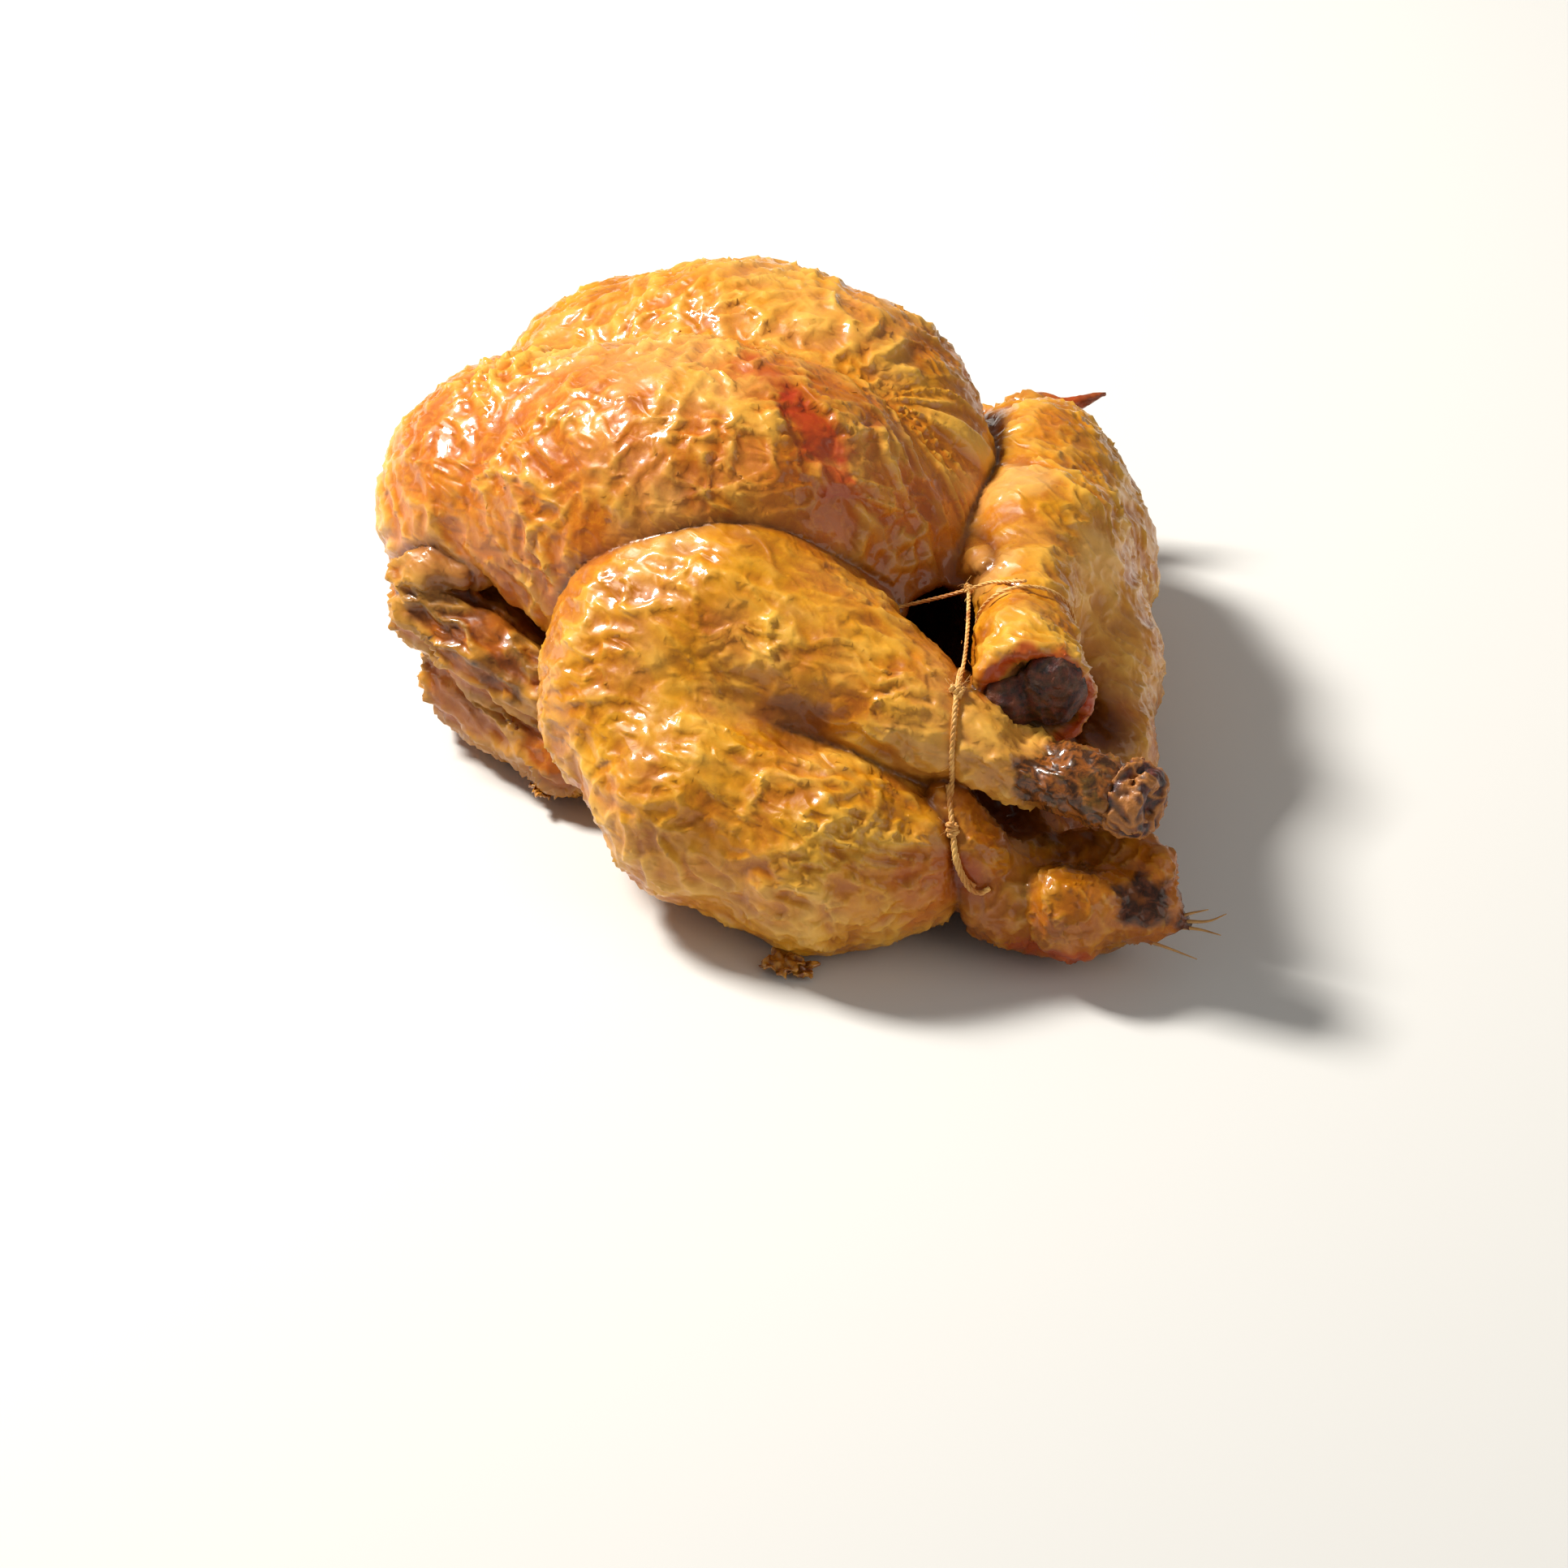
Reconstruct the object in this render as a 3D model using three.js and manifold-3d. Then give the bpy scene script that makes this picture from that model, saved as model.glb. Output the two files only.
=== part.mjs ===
// A trussed roast chicken lying on its back, legs tied over the open body cavity.
// Millimetres, +Z up, +X towards the tail, +Y towards the bird's far leg. The bird rests on z = 0.
//
// The flesh is one rounded solid described by a distance field: swollen tubes and ellipsoids that
// melt into each other the way muscle under skin does. The shin bones and the cotton twine are
// solids of their own, and the flesh is cut round them.

import * as THREE from 'three';
import { mergeVertices } from 'three/addons/utils/BufferGeometryUtils.js';
import Module from 'manifold-3d';

const wasm = await Module();
wasm.setup();

// ---- driving dimensions ------------------------------------------------------------------

const BREAST_HEIGHT = 58;        // middle of the breast muscle above the board
const BREAST_RADIUS = 37;        // thickest part of each breast half
const BACK_SINK = 1.5;           // how far the round back is flattened by the board
const TORSO_STEP = 10;           // size of the facets of the torso's skin
const LIMB_STEP = 9.4;           // and of the legs, the wings and the cavity
const TWINE_RADIUS = 1;
const TWINE_STEP = 5.8;          // length of one facet along the twine
const TWINE_SIDES = 6;
const GAP = 0.3;                 // free space between two solids that touch
const BONE_SIDES = 10;
const NEAR_SHANK_RADIUS = 10.3;
const FAR_SHANK_RADIUS = 11.5;

// ---- distance fields ---------------------------------------------------------------------
// A field is a function of x, y, z that gives the distance to a surface, negative inside.

function melt(a, b, width) {
  return (x, y, z) => {
    const p = a(x, y, z);
    const q = b(x, y, z);
    const h = Math.max(width - Math.abs(p - q), 0) / width;
    return Math.min(p, q) - h * h * width / 4;
  };
}

function ellipsoid([cx, cy, cz], [rx, ry, rz]) {
  return (x, y, z) => {
    const u = (x - cx) / rx;
    const v = (y - cy) / ry;
    const w = (z - cz) / rz;
    const near = Math.hypot(u, v, w);
    return near * (near - 1) / Math.max(Math.hypot(u / rx, v / ry, w / rz), 1e-6);
  };
}

// A cone with a ball at each end, [x, y, z, radius] for each ball.
function taper(a, b) {
  const axis = [b[0] - a[0], b[1] - a[1], b[2] - a[2]];
  const length2 = axis[0] ** 2 + axis[1] ** 2 + axis[2] ** 2;
  const shrink = a[3] - b[3];
  const slope2 = length2 - shrink * shrink;
  return (x, y, z) => {
    const px = x - a[0];
    const py = y - a[1];
    const pz = z - a[2];
    const along = px * axis[0] + py * axis[1] + pz * axis[2];
    const past = along - length2;
    const side2 = (px * length2 - axis[0] * along) ** 2 + (py * length2 - axis[1] * along) ** 2
      + (pz * length2 - axis[2] * along) ** 2;
    const edge = Math.sign(shrink) * shrink * shrink * side2;
    const past2 = past * past * length2;
    const along2 = along * along * length2;
    if (Math.sign(past) * slope2 * past2 > edge) return Math.sqrt(side2 + past2) / length2 - b[3];
    if (Math.sign(along) * slope2 * along2 < edge) return Math.sqrt(side2 + along2) / length2 - a[3];
    return (Math.sqrt(side2 * slope2 / length2) + along * shrink) / length2 - a[3];
  };
}

function limb(balls, width) {
  let field = taper(balls[0], balls[1]);
  for (let i = 1; i < balls.length - 1; i += 1) {
    field = melt(field, taper(balls[i], balls[i + 1]), width);
  }
  return field;
}

// ---- the parts of the bird, as fields ----------------------------------------------------

function breast() {
  const nearHalf = limb([
    [-77, -45, BREAST_HEIGHT - 12, BREAST_RADIUS + 1],
    [-37, -32, BREAST_HEIGHT, BREAST_RADIUS],
    [-17, -18, BREAST_HEIGHT + 2, BREAST_RADIUS - 4],
    [-1, -6, BREAST_HEIGHT - 2, BREAST_RADIUS - 15],
  ], 22);
  const farHalf = limb([
    [-72, 28, BREAST_HEIGHT - 14, BREAST_RADIUS - 6],
    [-64, 12, BREAST_HEIGHT, BREAST_RADIUS],
    [-38, 23, BREAST_HEIGHT + 2, BREAST_RADIUS - 3],
    [-14, 19, BREAST_HEIGHT, BREAST_RADIUS - 11],
  ], 20);
  const neckEnd = limb([
    [-94, -7, BREAST_HEIGHT - 8, BREAST_RADIUS - 10],
    [-97, 8, BREAST_HEIGHT - 8, BREAST_RADIUS - 9],
  ], 12);
  const keelTip = ellipsoid([2, 9, BREAST_HEIGHT - 4], [16, 22, 17]);
  return melt(melt(melt(nearHalf, farHalf, 7), neckEnd, 10), keelTip, 8);
}

function back() {
  const ribs = ellipsoid([-36, -11, 38 - BACK_SINK], [72, 54, 38]);
  const hips = ellipsoid([29, -1, 24 - BACK_SINK], [58, 44, 24]);
  return melt(ribs, hips, 20);
}

function tail() {
  return limb([
    [60, -20, 24, 16],
    [84, -37, 24, 10],
    [95, -36, 21, 13],
    [107, -28, 19, 13],
    [113, -20, 18, 11],
    [119, -15, 17, 5],
  ], 10);
}

function torso() {
  return melt(melt(breast(), back(), 14), tail(), 10);
}

function nearWing() {
  return [
    limb([[-63, -76, 18, 13], [-50, -71, 14, 13], [-24, -77, 12, 9]], 8),
    limb([[-69, -82, 36, 10], [-52, -78, 30, 11], [-33, -74, 26, 9]], 8),
  ];
}

function farWing() {
  return [
    limb([[-80, 51, 22, 14], [-62, 62, 16, 13], [-40, 66, 14, 11]], 8),
    limb([[-81, 50, 36, 13], [-62, 67, 28, 11], [-47, 72, 24, 10]], 8),
  ];
}

function nearLeg() {
  const thigh = limb([[-3, -82, 36, 18], [30, -78, 26, 22], [56, -64, 22, 23.5], [73, -51, 22, 17]], 14);
  const drumstick = limb([
    [-7, -60, 45, 28],
    [3, -48, 47, 28],
    [29, -44, 47, 21.5],
    [55, -39, 48, 14],
    [69, -33.5, 49, NEAR_SHANK_RADIUS],
    [92, -26, 47, NEAR_SHANK_RADIUS - 0.8],
    [101, -21, 46, NEAR_SHANK_RADIUS + 0.4],
  ], 12);
  return [thigh, drumstick];
}

function farLeg() {
  const thigh = limb([[-20, 71, 34, 18.5], [9, 52, 30, 18], [46, 26, 28, 16], [72, 8, 26, 14]], 14);
  const drumstick = limb([
    [-2, 57, 48, 18],
    [32, 26, 54, 15.5],
    [55, 0, 60, FAR_SHANK_RADIUS],
    [71, -13, 58, FAR_SHANK_RADIUS + 1.5],
    [78, -18, 57, FAR_SHANK_RADIUS + 1],
  ], 12);
  return [thigh, drumstick];
}

// The emptied body: a mouth between the legs and the room behind it.
function cavity() {
  return limb([[30, -8, 42, 13.5], [0, -5, 42, 18], [-60, 3, 40, 20]], 6);
}

// ---- from field to mesh ------------------------------------------------------------------

// Grid of samples round the bird.
function sampleGrid(field, low, high, step) {
  const count = low.map((v, i) => Math.ceil((high[i] - v) / step) + 1);
  const at = (i, j, k) => (i * count[1] + j) * count[2] + k;
  const values = new Float32Array(count[0] * count[1] * count[2]);
  for (let i = 0; i < count[0]; i += 1) {
    for (let j = 0; j < count[1]; j += 1) {
      for (let k = 0; k < count[2]; k += 1) {
        values[at(i, j, k)] = field(low[0] + i * step, low[1] + j * step, low[2] + k * step);
      }
    }
  }
  return { count, at, values };
}

// One vertex in each grid cell that the skin passes through, at the mean of its crossings.
function cellVertices(grid, low, step) {
  const { count, at, values } = grid;
  const points = [];
  const vertexOf = new Map();
  const corners = [0, 1, 2, 3, 4, 5, 6, 7].map((n) => [n & 1, (n >> 1) & 1, (n >> 2) & 1]);
  for (let i = 0; i < count[0] - 1; i += 1) {
    for (let j = 0; j < count[1] - 1; j += 1) {
      for (let k = 0; k < count[2] - 1; k += 1) {
        const value = (c) => values[at(i + c[0], j + c[1], k + c[2])];
        const sum = [0, 0, 0];
        let crossings = 0;
        for (const a of corners) {
          for (let axis = 0; axis < 3; axis += 1) {
            if (a[axis] === 1) continue;
            const b = a.slice();
            b[axis] = 1;
            const p = value(a);
            const q = value(b);
            if ((p < 0) === (q < 0)) continue;
            for (let m = 0; m < 3; m += 1) sum[m] += a[m] + (m === axis ? p / (p - q) : 0);
            crossings += 1;
          }
        }
        if (crossings === 0) continue;
        vertexOf.set(at(i, j, k), points.length);
        const cell = [i, j, k];
        points.push(sum.map((s, m) => low[m] + (cell[m] + s / crossings) * step));
      }
    }
  }
  return { points, vertexOf };
}

// Two triangles for each grid edge that the skin crosses, facing out.
function cellFaces(grid, vertexOf) {
  const { count, at, values } = grid;
  const triangles = [];
  for (let i = 1; i < count[0] - 1; i += 1) {
    for (let j = 1; j < count[1] - 1; j += 1) {
      for (let k = 1; k < count[2] - 1; k += 1) {
        for (let axis = 0; axis < 3; axis += 1) {
          const next = [0, 1, 2].map((m) => (m === axis ? 1 : 0));
          const inside = values[at(i, j, k)] < 0;
          if (inside === (values[at(i + next[0], j + next[1], k + next[2])] < 0)) continue;
          const u = [0, 1, 2].map((m) => (m === (axis + 1) % 3 ? 1 : 0));
          const v = [0, 1, 2].map((m) => (m === (axis + 2) % 3 ? 1 : 0));
          const ring = [[1, 1], [0, 1], [0, 0], [1, 0]].map(([s, t]) => vertexOf.get(
            at(i - s * u[0] - t * v[0], j - s * u[1] - t * v[1], k - s * u[2] - t * v[2])));
          if (!inside) ring.reverse();
          triangles.push(ring[0], ring[1], ring[2], ring[0], ring[2], ring[3]);
        }
      }
    }
  }
  return triangles;
}

// Moves each vertex onto the surface, where the field is nought.
function settle(points, field, step) {
  const nudge = 0.2;
  for (let pass = 0; pass < 2; pass += 1) {
    for (const p of points) {
      const d = field(...p);
      const slope = [0, 1, 2].map((m) => {
        const q = p.slice();
        q[m] += nudge;
        return (field(...q) - d) / nudge;
      });
      const steep = Math.max(Math.hypot(...slope), 0.3);
      const move = Math.max(-step / 3, Math.min(step / 3, d / steep));
      for (let m = 0; m < 3; m += 1) p[m] -= move * slope[m] / steep;
    }
  }
}

function skin(field, step) {
  const low = [-150, -130, -20];
  const high = [145, 130, 125];
  const grid = sampleGrid(field, low, high, step);
  const { points, vertexOf } = cellVertices(grid, low, step);
  const triangles = cellFaces(grid, vertexOf);
  settle(points, field, step);
  const geometry = new THREE.BufferGeometry();
  geometry.setAttribute('position', new THREE.Float32BufferAttribute(points.flat(), 3));
  geometry.setIndex(triangles);
  return geometry;
}

// ---- joining and cutting -----------------------------------------------------------------

function solid(geometry) {
  const bare = geometry.clone();
  bare.deleteAttribute('normal');
  bare.deleteAttribute('uv');
  const merged = mergeVertices(bare, 1e-4);
  return new wasm.Manifold(new wasm.Mesh({
    numProp: 3,
    vertProperties: new Float32Array(merged.attributes.position.array),
    triVerts: new Uint32Array(merged.index.array),
  }));
}

function geometryOf(body) {
  const mesh = body.getMesh();
  const geometry = new THREE.BufferGeometry();
  geometry.setAttribute('position', new THREE.BufferAttribute(mesh.vertProperties, 3));
  geometry.setIndex(new THREE.BufferAttribute(mesh.triVerts, 1));
  geometry.computeVertexNormals();
  return geometry;
}

function joined(bodies) {
  return bodies.reduce((a, b) => a.add(b));
}

// A turned solid from [distance along the axis, radius] pairs, laid from one point towards another.
function turned(profile, from, to, sides) {
  const points = profile.map(([along, radius]) => new THREE.Vector2(radius, along));
  const geometry = new THREE.LatheGeometry(points, sides);
  const start = new THREE.Vector3(...from);
  const direction = new THREE.Vector3(...to).sub(start).normalize();
  geometry.applyQuaternion(new THREE.Quaternion().setFromUnitVectors(new THREE.Vector3(0, 1, 0), direction));
  geometry.translate(start.x, start.y, start.z);
  return geometry;
}

// ---- small hard parts --------------------------------------------------------------------

const NEAR_SHIN = { from: [10, -50.6, 47.4], to: [119.4, -13.4, 45], shaft: 4.2, knuckle: 9.4, length: 115.6 };
const FAR_SHIN = { from: [12, 42.2, 52], to: [83.6, -22.6, 57.5], shaft: 4.2, knuckle: 9.2, length: 93.5 };

// A shin bone: buried head, narrow shaft and the charred knuckle that stands out of the shank.
function shinBone(bone, extra) {
  const { length, shaft, knuckle } = bone;
  const grown = [
    [-extra, 0],
    [-extra, shaft + 1 + extra],
    [8, shaft + 2 + extra],
    [20, shaft + extra],
    [length - 22, shaft + extra],
    [length - 15, knuckle * 0.9 + extra],
    [length - 7, knuckle + extra],
    [length - 2, knuckle * 0.86 + extra],
    [length + extra, knuckle * 0.4 + extra],
    [length + extra, 0],
  ];
  return turned(grown, bone.from, bone.to, BONE_SIDES);
}

// The last joint of each wing, a thin flat-tipped spike of skin over bone.
function wingTips() {
  const near = turned([[0, 0], [0, 5], [3, 7], [9, 6.4], [14, 3.6], [19.5, 1.4], [20.5, 0]],
    [-70, -88, 45], [-57, -74, 46.5], 10);
  const far = turned([[0, 0], [0, 8], [8, 8.5], [20, 6], [32, 3.6], [42, 1.2], [43, 0]],
    [-51, 68, 27], [-32, 103, 40.5], 10);
  return [near, far];
}

// The far shank is cut off square, so its burnt end is a flat face round the bone.
function shankCut() {
  const face = FAR_SHIN.length - 1.6;
  return turned([[face, 0], [face, 20], [face + 20, 20], [face + 20, 0]], FAR_SHIN.from, FAR_SHIN.to, 16);
}

// The gaps through to the cavity: the vent over the tail, and the hole under the near shank.
function vents() {
  const overTail = turned([[0, 0], [0, 8], [30, 5.2], [92, 4.6], [92, 0]], [28, -1, 43], [120, 4, 43], 10);
  const underShank = turned([[0, 0], [0, 4.6], [24, 4.4], [24, 0]], [62, -21, 35], [84, -27, 33], 8);
  return [overTail, underShank];
}

// ---- twine -------------------------------------------------------------------------------

// A loop tied round a shank or the tail, in the plane across the given direction.
function loop(centre, along, wide, high, radius) {
  const around = Math.round(Math.PI * (wide + high) / TWINE_STEP);
  const geometry = new THREE.TorusGeometry(wide, radius, TWINE_SIDES, around).scale(1, high / wide, 1);
  const axis = new THREE.Vector3(...along).normalize();
  const side = new THREE.Vector3(0, 0, 1).cross(axis).normalize();
  const up = axis.clone().cross(side);
  return geometry.applyMatrix4(new THREE.Matrix4().makeBasis(side, up, axis).setPosition(...centre));
}

function strand(points, radius) {
  const curve = new THREE.CatmullRomCurve3(points);
  const section = new THREE.Shape();
  for (let i = 0; i < TWINE_SIDES; i += 1) {
    const turn = i * 2 * Math.PI / TWINE_SIDES;
    const corner = [radius * Math.cos(turn), radius * Math.sin(turn)];
    if (i === 0) section.moveTo(...corner);
    else section.lineTo(...corner);
  }
  section.closePath();
  const steps = Math.round(curve.getLength() / TWINE_STEP);
  return new THREE.ExtrudeGeometry(section, { steps, bevelEnabled: false, extrudePath: curve });
}

function knot([x, y, z], radius) {
  return new THREE.IcosahedronGeometry(radius, 1).translate(x, y, z);
}

const spot = (x, y, z) => new THREE.Vector3(x, y, z);

const TOP_KNOT = [49.5, -10.3, 65];
const LOW_KNOT = [83, -47.5, 35];

// All the twine: a loop round each shank, one round the base of the tail, and the strands between.
function twine(extra) {
  const radius = TWINE_RADIUS + extra;
  const nearReach = NEAR_SHANK_RADIUS + 1.2;
  const farReach = FAR_SHANK_RADIUS + 1.2;
  const bridge = [spot(70, -33.5, 60.6), spot(60, -22, 62.5), spot(...TOP_KNOT)];
  const tuck = [spot(...TOP_KNOT), spot(34, -14, 60), spot(25, -20, 55), spot(18, -25, 50)];
  const hang = [spot(73.6, -44.2, 48), spot(79, -46, 41), spot(...LOW_KNOT), spot(84.5, -47.6, 25)];
  const pieces = [
    loop([70, -33.5, 49], [38, 13, -1], nearReach, nearReach, radius),
    loop([57, -1.5, 60], [16, -13, -2], farReach, farReach, radius),
    loop([84, -36.5, 25.5], [1, -0.1, 0], 11.3, 14, radius),
    strand(bridge, radius),
    strand(tuck, radius),
    strand(hang, radius),
    knot(TOP_KNOT, 2.6 + extra),
    knot(LOW_KNOT, 2.4 + extra),
  ];
  return joined(pieces.map(solid));
}

// ---- assembly ----------------------------------------------------------------------------

function flesh() {
  const covered = (field) => solid(skin(field, LIMB_STEP));
  const [farThigh, farDrumstick] = farLeg().map(covered);
  const whole = joined([
    solid(skin(torso(), TORSO_STEP)),
    farThigh,
    farDrumstick.subtract(solid(shankCut())),
    ...[...nearWing(), ...farWing(), ...nearLeg()].map(covered),
    ...wingTips().map(solid),
  ]);
  const aboveBoard = new THREE.BoxGeometry(400, 400, 200).translate(0, 0, 100);
  return whole
    .intersect(solid(aboveBoard))
    .subtract(solid(skin(cavity(), LIMB_STEP)))
    .subtract(joined(vents().map(solid)))
    .subtract(solid(shinBone(NEAR_SHIN, GAP)))
    .subtract(solid(shinBone(FAR_SHIN, GAP)))
    .subtract(twine(GAP));
}

function material(color, roughness) {
  return new THREE.MeshStandardMaterial({ color, roughness, metalness: 0 });
}

function named(name, geometry, look) {
  const mesh = new THREE.Mesh(geometry, look);
  mesh.name = name;
  return mesh;
}

const chicken = new THREE.Group();
const charredBone = material('#4a2a1e', 0.6);
chicken.add(named('bird', geometryOf(flesh()), material('#d98a2b', 0.35)));
chicken.add(named('shin_bone_near', shinBone(NEAR_SHIN, 0), charredBone));
chicken.add(named('shin_bone_far', shinBone(FAR_SHIN, 0), charredBone.clone()));
chicken.add(named('twine', geometryOf(twine(0)), material('#c98a3c', 0.8)));

// The origin is under the middle of the whole, on the board.
const middle = new THREE.Box3().setFromObject(chicken).getCenter(new THREE.Vector3());
chicken.position.set(-middle.x, -middle.y, 0);

export default chicken;
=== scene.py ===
"""A trussed roast chicken on its back: crinkled golden skin, charred shanks, cotton twine."""
import math
import bpy
import numpy as np
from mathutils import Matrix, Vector


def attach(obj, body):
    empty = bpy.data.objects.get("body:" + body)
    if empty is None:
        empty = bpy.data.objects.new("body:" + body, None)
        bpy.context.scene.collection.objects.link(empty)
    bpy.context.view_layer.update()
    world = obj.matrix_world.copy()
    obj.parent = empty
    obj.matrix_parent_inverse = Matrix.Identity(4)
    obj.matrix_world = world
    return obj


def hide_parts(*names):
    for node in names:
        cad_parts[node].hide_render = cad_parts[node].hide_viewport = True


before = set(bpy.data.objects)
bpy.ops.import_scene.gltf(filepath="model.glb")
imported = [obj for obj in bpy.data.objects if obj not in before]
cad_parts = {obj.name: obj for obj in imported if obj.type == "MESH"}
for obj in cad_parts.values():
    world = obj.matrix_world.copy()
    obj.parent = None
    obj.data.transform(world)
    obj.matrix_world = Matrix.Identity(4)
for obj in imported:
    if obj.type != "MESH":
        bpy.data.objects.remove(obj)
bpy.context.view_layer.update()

# ---- the bird's flesh and skin -------------------------------------------------------------
# One plump roasting bird of muscle under thin skin, its legs folded back over the open body.
# The form is a distance field in millimetres, swollen tubes and ellipsoids that melt together,
# and the skin is meshed from it and then crinkled, as fat renders out and the skin shrinks.

MM = 0.001
SKIN_STEP = 0.85
SKIN_FACES = 190000
BREAST_HEIGHT = 58.0
BREAST_RADIUS = 37.0
NEAR_SHANK = 10.3
FAR_SHANK = 11.5
NEAR_SHIN_START = np.array([10.0, -50.6, 47.4])
NEAR_SHIN_END = np.array([119.4, -13.4, 45.0])
FAR_SHIN_START = np.array([12.0, 42.2, 52.0])
FAR_SHIN_END = np.array([83.6, -22.6, 57.5])
FAR_FACE = 92.0
CREASE_OPENS = (10, 50)
FAR_CREASE_OPENS = (46, 70)
SKIN_EDGE = 81.0
TEAR = (0, -19, 95)
TWINE_RINGS = (((68.9, -33.9, 49), (0.72, 0.69, 0), 11.5), ((57, -1.5, 60), (16, -13, -2), 12.7))
TO_ROW = np.array([-0.6, -0.3, 0.0])


def melt(a, b, width):
    h = np.maximum(width - np.abs(a - b), 0.0) / width
    return np.minimum(a, b) - h * h * width * 0.25


def carve(a, b, width):
    return -melt(-a, b, width)


def ellipsoid(p, centre, radii):
    q = p - np.array(centre, np.float32)
    r = np.array(radii, np.float32)
    near = np.sqrt(((q / r) ** 2).sum(-1))
    return near * (near - 1) / np.maximum(np.sqrt(((q / (r * r)) ** 2).sum(-1)), 1e-6)


def taper(p, a, b):
    """Distance to a cone with a ball at each end, [x, y, z, radius] for each ball."""
    start = np.array(a[:3], np.float32)
    axis = np.array(b[:3], np.float32) - start
    length2 = float(axis @ axis)
    shrink = a[3] - b[3]
    slope2 = length2 - shrink * shrink
    q = p - start
    along = q @ axis
    past = along - length2
    side2 = ((q * length2 - axis * along[..., None]) ** 2).sum(-1)
    edge = np.sign(shrink) * shrink * shrink * side2
    past2 = past * past * length2
    along2 = along * along * length2
    body = (np.sqrt(side2 * slope2 / length2) + along * shrink) / length2 - a[3]
    low = np.sqrt(side2 + along2) / length2 - a[3]
    high = np.sqrt(side2 + past2) / length2 - b[3]
    body = np.where(np.sign(along) * slope2 * along2 < edge, low, body)
    return np.where(np.sign(past) * slope2 * past2 > edge, high, body)


def limb(p, balls, width):
    field = taper(p, balls[0], balls[1])
    for a, b in zip(balls[1:-1], balls[2:]):
        field = melt(field, taper(p, a, b), width)
    return field


def near_breast(p):
    return limb(p, [
        (-77, -45, BREAST_HEIGHT - 12, BREAST_RADIUS + 1),
        (-37, -32, BREAST_HEIGHT, BREAST_RADIUS),
        (-17, -18, BREAST_HEIGHT + 1, BREAST_RADIUS - 4),
        (-1, -6, BREAST_HEIGHT - 2, BREAST_RADIUS - 15)], 22)


def far_breast(p):
    half = limb(p, [
        (-72, 27, BREAST_HEIGHT - 18, BREAST_RADIUS - 6),
        (-66, 11, BREAST_HEIGHT - 4, BREAST_RADIUS - 1),
        (-40, 21, BREAST_HEIGHT - 4, BREAST_RADIUS - 3.5),
        (-15, 19, BREAST_HEIGHT - 4, BREAST_RADIUS - 11)], 18)
    keel_tip = ellipsoid(p, (2, 9, BREAST_HEIGHT - 4), (16, 22, 17))
    fat_nub = limb(p, [(27, 14, 59, 5), (33, 8, 61, 4), (37, 4, 64, 3.2)], 3)
    return melt(melt(half, keel_tip, 8), fat_nub, 3)


def neck_end(p):
    return limb(p, [
        (-94, -7, BREAST_HEIGHT - 8, BREAST_RADIUS - 10),
        (-96, -2, BREAST_HEIGHT - 8, BREAST_RADIUS - 10),
        (-97, 8, BREAST_HEIGHT - 8, BREAST_RADIUS - 9)], 12)


def back(p):
    ribs = ellipsoid(p, (-36, -11, 36.5), (72, 54, 38))
    hips = ellipsoid(p, (29, -1, 22.5), (58, 44, 24))
    return melt(ribs, hips, 20)


def tail(p):
    root = limb(p, [(60, -20, 24, 15), (88, -27, 14, 12), (104, -20, 12, 11)], 8)
    flap = limb(p, [(75, -42, 36, 6), (84, -42, 26, 8), (91, -38, 15, 9.5), (97, -32, 10, 9)], 5)
    bulb = ellipsoid(p, (105.5, -30.5, 17), (12, 11.5, 12.5))
    tip = limb(p, [(110, -24, 18, 9), (117, -17, 17, 6.5), (124.5, -10.5, 14, 1.8)], 4)
    lip = limb(p, [(96, -19, 25, 5), (107, -12, 27, 4.5), (115, -12, 25, 4.5), (119, -13, 19, 4)], 4)
    skin = melt(melt(root, flap, 5), melt(melt(bulb, tip, 3), lip, 3), 1.5)
    recess = limb(p, [(93, -27, 33, 6.5), (101, -23, 32, 6), (109, -20, 31, 3.5)], 3)
    return carve(skin, recess, 2)


def near_wing(p):
    elbow_skin = limb(p, [(-62, -76, 17, 13), (-49, -71, 13, 13), (-24, -77, 12, 9)], 6)
    forearm = limb(p, [(-71, -83, 35, 9.5), (-53, -78, 29, 10), (-33, -74, 25, 9)], 6)
    hand = limb(p, [
        (-75, -84, 42, 6.3), (-70, -82, 46.6, 5), (-62, -78, 47.2, 3.6), (-56, -74, 46.3, 0.8)], 3)
    return melt(melt(elbow_skin, forearm, 2), hand, 2)


def far_wing(p):
    elbow_skin = limb(p, [(-80, 51, 22, 14), (-62, 62, 16, 13), (-40, 66, 14, 11)], 8)
    forearm = limb(p, [(-81, 50, 36, 13), (-62, 67, 28, 11), (-47, 72, 24, 10)], 8)
    tip = limb(p, [(-51, 68, 27, 8), (-41, 90, 35.5, 5.4), (-32, 105, 40.5, 0.9)], 4)
    return melt(melt(elbow_skin, forearm, 3), tip, 4)


def near_thigh(p):
    return limb(p, [(-1, -79, 38, 19), (28, -76, 27, 22), (54, -63, 22, 22.5), (72, -51, 22, 16.5)], 14)


def near_drumstick(p):
    calf = limb(p, [
        (-7, -59, 47, 28.5), (4, -47, 49, 29), (29, -43, 49, 21.5), (55, -38, 49, 13.5),
        (70, -33.5, 49, NEAR_SHANK - 0.4)], 12)
    shank = limb(p, [
        (70, -33.5, 49, NEAR_SHANK + 0.6), (84, -28.5, 47.5, NEAR_SHANK - 0.8),
        (97, -24, 46.5, NEAR_SHANK - 0.8), (104, -20, 45, NEAR_SHANK)], 2)
    under_far_shank = limb(p, [(81, -20, 58.5, 7.5), (95, -32.5, 60.5, 7)], 2)
    return carve(melt(calf, shank, 3), under_far_shank, 4)


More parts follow.
